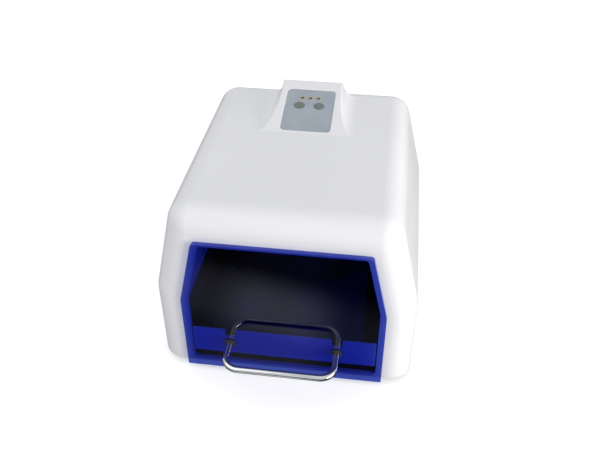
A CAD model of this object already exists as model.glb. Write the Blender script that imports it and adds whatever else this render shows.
import math

import bpy
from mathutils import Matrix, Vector


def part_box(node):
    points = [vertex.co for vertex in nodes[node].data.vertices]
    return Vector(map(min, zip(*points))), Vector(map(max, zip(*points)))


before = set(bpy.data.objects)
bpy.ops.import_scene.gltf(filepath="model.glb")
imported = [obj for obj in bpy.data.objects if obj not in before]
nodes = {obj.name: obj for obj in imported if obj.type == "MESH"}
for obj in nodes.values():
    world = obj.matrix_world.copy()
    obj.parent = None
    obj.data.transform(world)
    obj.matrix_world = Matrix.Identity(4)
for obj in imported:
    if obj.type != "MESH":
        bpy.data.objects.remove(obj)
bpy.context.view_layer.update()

# The camera that took the photograph, in the part's metres and in degrees.
PHOTO_WIDTH = 600
FOCAL_PIXELS = 718.5
SENSOR_WIDTH = 36.0
CAMERA_PLACE = (0.07465, -0.55271, 0.50879)
CAMERA_DOWN = 37.824
CAMERA_TURN = 7.682
CLIP_START = 0.01

# The studio. Lamps have their places in metres and their power in watts.
FLOOR_HALF = 4.0
FLOOR_GREY = 0.80
FLOOR_LIFT = 0.42
SKY_COLOUR = (0.97, 0.98, 1.0)
SKY_LEVEL = 0.70
BACKDROP_LEVEL = 1.0
LAMP_AIM = (0, 0, 0.08)
LAMPS = (
    {"name": "key", "place": (-0.9, -0.5, 1.3), "size": (2.0, 1.6), "power": 5.0, "colour": (1, 1, 1)},
    {"name": "fill", "place": (1.35, -0.60, 0.32), "size": (1.3, 0.7), "power": 17.0,
     "colour": (1.0, 0.985, 0.95)},
)

# What reflections see of the floor: its brightness goes from low to high between start and end.
FLOOR_SLANT = -0.25
TOWARDS_UNIT = {"low": 0.62, "high": 0.26, "start": -0.180, "end": -0.150}
FRONT_EDGE = {"low": 0.05, "high": 1.0, "start": -0.255, "end": -0.200}
LEFT_EDGE = {"low": 0.40, "high": 1.0, "start": -0.095, "end": -0.040}
RIGHT_EDGE = {"low": 1.0, "high": 0.20, "start": 0.0, "end": 0.055}

# What a ray keeps on its way through the whole sheet, and the gloss of its two faces together.
ACRYLIC_TINT = (0.070, 0.115, 0.58)
ACRYLIC_GLOSS = (0.76, 0.79, 1.0)
FACE_ON_SHARE = 0.04
GRAZING_POWER = 5.0
BOTH_FACES = 1.45


# ---- Node materials ----------------------------------------------------------------------------------
class Look:
    """A material made of nodes. Patterns are laid out in the part's own metres."""

    def __init__(self, name):
        self.material = bpy.data.materials.new(name)
        self.material.use_nodes = True
        self.tree = self.material.node_tree
        self.tree.nodes.clear()
        self.out = self.tree.nodes.new("ShaderNodeOutputMaterial")
        self.place = self.add("ShaderNodeTexCoord").outputs["Object"]

    def add(self, kind, settings=None, **inputs):
        node = self.tree.nodes.new(kind)
        for key, value in (settings or {}).items():
            setattr(node, key, value)
        for key, value in inputs.items():
            self.put(node.inputs[key.replace("_", " ")], value)
        return node

    def put(self, socket, value):
        if isinstance(value, bpy.types.NodeSocket):
            self.tree.links.new(value, socket)
        elif socket.type == "RGBA" and len(value) == 3:
            socket.default_value = (*value, 1.0)
        else:
            socket.default_value = value

    def stretched(self, stretch, turn=(0, 0, 0)):
        """The part's coordinates, squeezed along its axes, for patterns with a direction."""
        angles = [math.radians(a) for a in turn]
        node = self.add("ShaderNodeMapping", Vector=self.place, Scale=stretch, Rotation=angles)
        return node.outputs["Vector"]

    def noise(self, per_metre, detail=3.0, roughness=0.55, where=None):
        where = where or self.place
        node = self.add("ShaderNodeTexNoise", Vector=where, Scale=per_metre, Detail=detail,
                        Roughness=roughness)
        return node.outputs["Fac"]

    def span(self, value, low, high, start=0.3, end=0.7):
        """Maps a pattern's start..end to low..high."""
        node = self.add("ShaderNodeMapRange", {"interpolation_type": "SMOOTHSTEP"}, Value=value,
                        From_Min=start, From_Max=end, To_Min=low, To_Max=high)
        return node.outputs["Result"]

    def blend(self, factor, a, b):
        return self.add("ShaderNodeMix", {"data_type": "RGBA"}, Factor=factor, A=a, B=b).outputs["Result"]

    def two_tone(self, pattern, dark, pale):
        return self.blend(self.span(pattern, 0, 1), dark, pale)

    def maths(self, operation, a, b=0.0):
        node = self.add("ShaderNodeMath", {"operation": operation})
        self.put(node.inputs[0], a)
        self.put(node.inputs[1], b)
        return node.outputs["Value"]

    def axis(self, name, where=None):
        return self.add("ShaderNodeSeparateXYZ", Vector=where or self.place).outputs[name]

    def bump(self, height, depth, under=None):
        node = self.add("ShaderNodeBump", Height=height, Distance=depth)
        if under is not None:
            self.put(node.inputs["Normal"], under)
        return node.outputs["Normal"]

    def surface(self, **inputs):
        return self.add("ShaderNodeBsdfPrincipled", **inputs)

    def mixed(self, factor, first, second):
        """One of two shaders, or a share of both."""
        mix = self.add("ShaderNodeMixShader")
        self.put(mix.inputs[0], factor)
        self.put(mix.inputs[1], first.outputs[0])
        self.put(mix.inputs[2], second.outputs[0])
        return mix

    def done(self, shader):
        self.put(self.out.inputs["Surface"], shader.outputs[0])
        return self.material


def grey(level):
    return (level, level, level)


def scaled(colour, share):
    return [c * share for c in colour]


def moulded(name, colour, rough=(0.34, 0.44), grain=900.0, depth=0.00003, tone=0.025, patch=9.0):
    """Moulded plastic: a fine orange-peel grain, slow changes of tone and uneven gloss."""
    look = Look(name)
    slow = look.noise(patch, detail=2.0)
    handled = look.noise(38.0, detail=4.0, roughness=0.62)
    fine = look.noise(grain, detail=2.0, roughness=0.5)
    base = look.two_tone(slow, scaled(colour, 1 - tone), colour)
    gloss = look.span(handled, *rough)
    return look.done(look.surface(Base_Color=base, Roughness=gloss, Normal=look.bump(fine, depth)))


def sheet_metal(name, colour, rough=(0.28, 0.42), along=(1, 30, 30), tone=0.12):
    """Rolled or drawn metal: fine lines along one direction."""
    look = Look(name)
    lines = look.noise(60.0, detail=5.0, roughness=0.65, where=look.stretched(along))
    spangle = look.noise(55.0, detail=2.0)
    base = look.two_tone(spangle, scaled(colour, 1 - tone), colour)
    gloss = look.span(lines, *rough)
    normal = look.bump(lines, depth=0.00002)
    return look.done(look.surface(Base_Color=base, Roughness=gloss, Normal=normal, Metallic=1.0))


def powder_coat(name, colour):
    """Powder coating: a close grain of small bumps."""
    look = Look(name)
    slow = look.noise(14.0)
    grain = look.noise(1500.0, detail=2.0, roughness=0.5)
    base = look.two_tone(slow, scaled(colour, 0.95), colour)
    rough = look.span(look.noise(60.0, detail=4.0), low=0.42, high=0.55)
    return look.done(look.surface(Base_Color=base, Roughness=rough, Normal=look.bump(grain, depth=0.00006)))


def shell_white():
    """Glossy white moulding with a barely seen orange-peel grain and faint handling marks."""
    look = Look("shell_white")
    base = look.two_tone(look.noise(7.0, detail=2.0), (0.80, 0.80, 0.825), (0.825, 0.825, 0.84))
    handled = look.noise(24.0, detail=5.0, roughness=0.6)
    scuffs = look.noise(70.0, detail=6.0, roughness=0.7, where=look.stretched((1, 6, 1), (0, 0, 24)))
    dull = look.span(scuffs, low=0.0, high=0.06, start=0.6, end=0.75)
    rough = look.maths("ADD", look.span(handled, low=0.30, high=0.38), dull)
    peel = look.bump(look.noise(420.0, detail=2.0, roughness=0.4), depth=0.00002)
    normal = look.bump(look.noise(2400.0, detail=1.0, roughness=0.4), depth=0.000006, under=peel)
    coat = {"Coat_Weight": 0.15, "Coat_Roughness": 0.18}
    return look.done(look.surface(Base_Color=base, Roughness=rough, Normal=normal, **coat))


def blue_acrylic():
    """Clear blue acrylic: tinted, polished, with a few faint wiping marks in its gloss.

    The tint and the gloss of both faces lie in the outer one. A ray through an edge is tinted where it
    goes in.
    """
    look = Look("blue_acrylic")
    low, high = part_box("drawer_front")
    outer = look.maths("LESS_THAN", look.axis("Y"), (low.y + high.y) / 2)
    normal_y = look.axis("Y", look.add("ShaderNodeTexCoord").outputs["Normal"])
    on_a_face = look.maths("GREATER_THAN", look.maths("ABSOLUTE", normal_y), 0.5)
    backfacing = look.add("ShaderNodeNewGeometry").outputs["Backfacing"]
    going_in = look.maths("SUBTRACT", 1.0, backfacing)
    choice = look.add("ShaderNodeMix", {"data_type": "FLOAT"}, Factor=on_a_face, A=going_in, B=outer)
    works = choice.outputs["Result"]

    wiped = look.noise(30.0, detail=6.0, roughness=0.6, where=look.stretched((1, 1, 5), (0, 18, 0)))
    rough = look.span(wiped, low=0.012, high=0.05, start=0.35, end=0.8)
    tint = look.add("ShaderNodeBsdfTransparent", Color=look.blend(works, grey(1.0), ACRYLIC_TINT))
    gloss = look.add("ShaderNodeBsdfGlossy", Color=ACRYLIC_GLOSS, Roughness=rough)

    grazing = look.maths("POWER", look.add("ShaderNodeLayerWeight").outputs["Facing"], GRAZING_POWER)
    one_face = look.maths("ADD", look.maths("MULTIPLY", grazing, 1 - FACE_ON_SHARE), FACE_ON_SHARE)
    share = look.maths("MINIMUM", look.maths("MULTIPLY", one_face, BOTH_FACES), 1.0)
    return look.done(look.mixed(look.maths("MULTIPLY", share, works), tint, gloss))


def bright_chrome():
    """Polished plating with faint lines along the rod and smears in its gloss."""
    look = Look("bright_chrome")
    lines = look.noise(260.0, detail=4.0, roughness=0.7, where=look.stretched((0.15, 1, 1)))
    smear = look.noise(60.0, detail=4.0)
    base = look.two_tone(smear, (0.74, 0.76, 0.78), (0.82, 0.83, 0.84))
    fine = look.span(lines, low=0.0, high=0.05, start=0.5, end=0.8)
    rough = look.maths("ADD", look.span(smear, low=0.05, high=0.10), fine)
    normal = look.bump(lines, depth=0.000004)
    return look.done(look.surface(Base_Color=base, Roughness=rough, Normal=normal, Metallic=1.0))


def tray_plate():
    """The dark plate in the tray, with the broad stains and fine scratches of cured resin work."""
    look = Look("tray_plate")
    stained = look.two_tone(look.noise(17.0, roughness=0.5), (0.030, 0.028, 0.030), (0.16, 0.17, 0.24))
    specks = look.span(look.noise(160.0, detail=4.0, roughness=0.7), low=0.0, high=0.6, start=0.62, end=0.75)
    base = look.blend(specks, stained, (0.30, 0.32, 0.38))
    scratches = look.noise(90.0, detail=6.0, roughness=0.7, where=look.stretched((1, 14, 1), (0, 0, 12)))
    rough = look.span(scratches, low=0.30, high=0.5, start=0.45, end=0.75)
    normal = look.bump(scratches, depth=0.00001)
    return look.done(look.surface(Base_Color=base, Roughness=rough, Normal=normal))


def label_film():
    """Bare grey-blue film with a fine embossed grain."""
    look = Look("label_film")
    base = look.two_tone(look.noise(60.0), (0.325, 0.375, 0.425), (0.365, 0.41, 0.455))
    grain = look.noise(3200.0, detail=1.0, roughness=0.4)
    rough = look.span(look.noise(120.0, detail=4.0), low=0.36, high=0.5)
    return look.done(look.surface(Base_Color=base, Roughness=rough, Normal=look.bump(grain, depth=0.00001)))


def key_cap():
    """Grey-green soft plastic."""
    look = Look("key_cap")
    base = look.two_tone(look.noise(260.0), (0.140, 0.170, 0.155), (0.175, 0.205, 0.190))
    grain = look.noise(2600.0, detail=1.0)
    rough = look.span(look.noise(300.0), low=0.38, high=0.5)
    return look.done(look.surface(Base_Color=base, Roughness=rough, Normal=look.bump(grain, depth=0.00001)))


def lamp_lens():
    """Unlit indicator: a dark, smooth, slightly amber dome."""
    look = Look("lamp_lens")
    base = look.two_tone(look.noise(900.0, detail=2.0), (0.010, 0.008, 0.005), (0.035, 0.024, 0.010))
    rough = look.span(look.noise(1500.0, detail=2.0), low=0.08, high=0.16)
    return look.done(look.surface(Base_Color=base, Roughness=rough))


def lamp_glass():
    """Tube glass over a pale coating: milky, smooth, greyer towards the cap."""
    look = Look("lamp_glass")
    cap_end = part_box("lamp_tube_top_left")[1].y
    near_cap = look.span(look.axis("Y"), low=0.0, high=1.0, start=cap_end - 0.022, end=cap_end - 0.004)
    coating = look.two_tone(look.noise(70.0), (0.74, 0.76, 0.80), (0.82, 0.84, 0.86))
    base = look.blend(near_cap, coating, (0.45, 0.46, 0.48))
    rough = look.span(look.noise(90.0), low=0.16, high=0.24)
    return look.done(look.surface(Base_Color=base, Roughness=rough, Coat_Weight=0.8, Coat_Roughness=0.05))


def circuit_board():
    """Green solder mask over tracks."""
    look = Look("circuit_board")
    squares = {"feature": "DISTANCE_TO_EDGE", "distance": "MANHATTAN"}
    cells = look.add("ShaderNodeTexVoronoi", squares, Vector=look.place, Scale=230.0)
    track = look.span(cells.outputs["Distance"], low=1.0, high=0.0, start=0.05, end=0.09)
    base = look.blend(track, (0.015, 0.110, 0.045), (0.030, 0.190, 0.075))
    rough = look.span(look.noise(200.0), low=0.28, high=0.4)
    return look.done(look.surface(Base_Color=base, Roughness=rough, Normal=look.bump(track, depth=0.00003)))


def rubber():
    """Black rubber with dust in its pores."""
    look = Look("rubber")
    dust = look.noise(120.0, detail=5.0, roughness=0.65)
    settled = look.span(dust, low=0.0, high=1.0, start=0.5, end=0.8)
    base = look.blend(settled, grey(0.012), (0.045, 0.044, 0.042))
    rough = look.span(dust, low=0.62, high=0.8)
    normal = look.bump(look.noise(1800.0), depth=0.00005)
    return look.done(look.surface(Base_Color=base, Roughness=rough, Normal=normal))


def windings():
    """Taped winding: crossing turns of varnished tape."""
    look = Look("windings")
    bands = {"bands_direction": "X"}
    turns = look.add("ShaderNodeTexWave", bands, Vector=look.place, Scale=90.0, Distortion=1.5).outputs["Fac"]
    base = look.blend(turns, (0.20, 0.07, 0.02), (0.42, 0.20, 0.07))
    rough = look.span(look.noise(200.0), low=0.3, high=0.5)
    return look.done(look.surface(Base_Color=base, Roughness=rough, Normal=look.bump(turns, depth=0.0002)))


def leads():
    """Grey insulation with a soft sheen, faintly ribbed along the flat lead."""
    look = Look("leads")
    bands = {"bands_direction": "X"}
    ribs = look.add("ShaderNodeTexWave", bands, Vector=look.place, Scale=250.0).outputs["Fac"]
    base = look.two_tone(look.noise(90.0), (0.28, 0.28, 0.29), (0.36, 0.36, 0.37))
    rough = look.span(look.noise(150.0), low=0.4, high=0.55)
    return look.done(look.surface(Base_Color=base, Roughness=rough, Normal=look.bump(ribs, depth=0.0001)))


MOULDED = {
    "bezel": {"colour": (0.50, 0.45, 0.30), "rough": (0.25, 0.35), "grain": 3000.0, "depth": 0.00001},
    "reflector_white": {"colour": (0.90, 0.90, 0.91), "rough": (0.22, 0.36), "grain": 1200.0, "tone": 0.10,
                        "patch": 26.0},
    "strip_white": {"colour": (0.90, 0.91, 0.92), "rough": (0.34, 0.5), "grain": 1400.0, "depth": 0.00002,
                    "tone": 0.08, "patch": 16.0},
    "tray_dark": {"colour": (0.020, 0.020, 0.024), "rough": (0.36, 0.52), "grain": 1400.0, "depth": 0.00002,
                  "tone": 0.4, "patch": 20.0},
    "black_plastic": {"colour": (0.016, 0.016, 0.017), "rough": (0.38, 0.52), "grain": 1600.0,
                      "depth": 0.00004},
    "rocker_gloss": {"colour": (0.014, 0.014, 0.015), "rough": (0.16, 0.26), "grain": 1200.0,
                     "depth": 0.00001},
    "white_plastic": {"colour": (0.72, 0.72, 0.69), "rough": (0.3, 0.42)},
    "nylon": {"colour": (0.66, 0.66, 0.62), "rough": (0.42, 0.55), "grain": 1400.0},
    "relay_blue": {"colour": (0.012, 0.05, 0.28), "rough": (0.2, 0.3)},
}
POWDER_COATED = {
    "base_paint": (0.62, 0.62, 0.63),
    "panel_paint": (0.50, 0.50, 0.51),
    "core_varnish": (0.05, 0.055, 0.065),
    "bracket_black": (0.022, 0.022, 0.024),
}
BARE_METAL = {
    "zinc": {"colour": (0.62, 0.62, 0.59)},
    "spring_steel": {"colour": (0.55, 0.55, 0.56), "rough": (0.2, 0.32)},
    "pin_metal": {"colour": (0.72, 0.68, 0.55), "rough": (0.18, 0.3), "along": (30, 1, 30)},
    "magnet_nickel": {"colour": (0.45, 0.45, 0.45), "rough": (0.15, 0.25)},
}
one_of_a_kind = (shell_white, blue_acrylic, bright_chrome, rubber, tray_plate, label_film, key_cap, lamp_lens,
                 lamp_glass, circuit_board, windings, leads)
looks = {make.__name__: make() for make in one_of_a_kind}
looks.update({name: moulded(name, **values) for name, values in MOULDED.items()})
looks.update({name: powder_coat(name, colour) for name, colour in POWDER_COATED.items()})
looks.update({name: sheet_metal(name, **values) for name, values in BARE_METAL.items()})

WORN_BY = {
    "shell_white": ["hood", "hood_front"],
    "blue_acrylic": ["drawer_front"],
    "bright_chrome": ["drawer_handle"],
    "rubber": ["handle_washers", "drawer_bumpers", "feet"],
    "strip_white": ["drawer_strip"],
    "tray_dark": ["drawer_tray", "guide_rail_left", "guide_rail_right"],
    "tray_plate": ["tray_liner"],
    "label_film": ["timer_label"],
    "key_cap": ["key_left", "key_right"],
    "lamp_lens": ["indicator_lamps"],
    "lamp_glass": ["lamp_tube_left", "lamp_tube_right", "lamp_tube_top_left", "lamp_tube_top_right", "fuse"],
    "circuit_board": ["timer_board", "power_board"],
    "windings": ["ballast_windings"],
    "leads": ["leads"],
    "bezel": ["indicator_bezels"],
    "base_paint": ["bulkhead"],
    "panel_paint": ["rear_panel"],
    "reflector_white": ["reflector"],
    "core_varnish": ["ballasts"],
    "zinc": ["base_fasteners", "chamber_screws", "handle_screws", "runner_screws", "rear_panel_screws",
             "compartment_screws"],
    "bracket_black": ["side_bracket_left", "side_bracket_right", "base_plate"],
    "spring_steel": ["lamp_clips"],
    "pin_metal": ["inlet_pins"],
    "magnet_nickel": ["drawer_magnet"],
    "black_plastic": ["mains_inlet", "fuse_drawer", "switch_frame", "drawer_sensor", "transformer",
                      "tact_switches", "drawer_runner_left", "drawer_runner_right", "key_plunger_left",
                      "key_plunger_right"],
    "rocker_gloss": ["switch_rocker"],
    "white_plastic": ["lamp_caps", "lamp_sockets", "board_connectors", "terminal_block"],
    "nylon": ["board_spacers"],
    "relay_blue": ["relay"],
}
for look_name, wearers in WORN_BY.items():
    for wearer in wearers:
        slots = nodes[wearer].data.materials
        slots.clear()
        slots.append(looks[look_name])


# ---- Floor, lamps and camera -------------------------------------------------------------------------
def floor_look():
    """White to the camera, with a soft shadow. Reflections see a patch that fades to its edges."""
    look = Look("floor")
    path = look.add("ShaderNodeLightPath")
    x, y = look.axis("X"), look.axis("Y")
    slanted = look.maths("ADD", y, look.maths("MULTIPLY", x, FLOOR_SLANT))
    along = look.maths("MULTIPLY", look.span(slanted, **TOWARDS_UNIT), look.span(slanted, **FRONT_EDGE))
    across = look.maths("MULTIPLY", look.span(x, **LEFT_EDGE), look.span(x, **RIGHT_EDGE))
    mirrored = look.add("ShaderNodeEmission", Color=look.maths("MULTIPLY", along, across))

    plain = look.add("ShaderNodeBsdfDiffuse", Color=grey(FLOOR_GREY))
    lift = look.add("ShaderNodeEmission", Color=grey(1.0), Strength=FLOOR_LIFT)
    bright = look.add("ShaderNodeAddShader")
    look.put(bright.inputs[0], plain.outputs[0])
    look.put(bright.inputs[1], lift.outputs[0])
    to_camera = look.mixed(path.outputs["Is Camera Ray"], plain, bright)
    return look.done(look.mixed(path.outputs["Is Glossy Ray"], to_camera, mirrored))


def make_floor():
    half = FLOOR_HALF
    mesh = bpy.data.meshes.new("floor")
    corners = [(-half, -half, 0), (half, -half, 0), (half, half, 0), (-half, half, 0)]
    mesh.from_pydata(corners, [], [(0, 1, 2, 3)])
    floor = bpy.data.objects.new("floor", mesh)
    bpy.context.scene.collection.objects.link(floor)
    mesh.materials.append(floor_look())


def area_lamp(name, place, size, power, colour):
    data = bpy.data.lights.new(name, "AREA")
    data.shape = "ELLIPSE"
    data.size, data.size_y = size
    data.energy = power
    data.color = colour
    lamp = bpy.data.objects.new(name, data)
    bpy.context.scene.collection.objects.link(lamp)
    lamp.location = place
    lamp.rotation_euler = (Vector(LAMP_AIM) - Vector(place)).to_track_quat("-Z", "Y").to_euler()


def make_world():
    """Soft light from all sides, and a white backdrop for the camera."""
    world = bpy.data.worlds.new("studio")
    bpy.context.scene.world = world
    world.use_nodes = True
    tree = world.node_tree
    tree.nodes.clear()
    out = tree.nodes.new("ShaderNodeOutputWorld")
    path = tree.nodes.new("ShaderNodeLightPath")
    mix = tree.nodes.new("ShaderNodeMixShader")
    tree.links.new(path.outputs["Is Camera Ray"], mix.inputs[0])
    sources = ((SKY_COLOUR, SKY_LEVEL, mix.inputs[1]), (grey(1.0), BACKDROP_LEVEL, mix.inputs[2]))
    for colour, level, socket in sources:
        light = tree.nodes.new("ShaderNodeBackground")
        light.inputs["Color"].default_value = (*colour, 1)
        light.inputs["Strength"].default_value = level
        tree.links.new(light.outputs[0], socket)
    tree.links.new(mix.outputs[0], out.inputs["Surface"])


def make_camera():
    data = bpy.data.cameras.new("camera")
    data.sensor_width = SENSOR_WIDTH
    data.lens = FOCAL_PIXELS / PHOTO_WIDTH * SENSOR_WIDTH
    data.clip_start = CLIP_START
    camera = bpy.data.objects.new("camera", data)
    bpy.context.scene.collection.objects.link(camera)
    camera.location = CAMERA_PLACE
    camera.rotation_euler = [math.radians(a) for a in (90 - CAMERA_DOWN, 0.0, CAMERA_TURN)]
    bpy.context.scene.camera = camera


make_floor()
make_world()
for lamp in LAMPS:
    area_lamp(**lamp)
make_camera()
bpy.context.scene.view_settings.view_transform = "Standard"
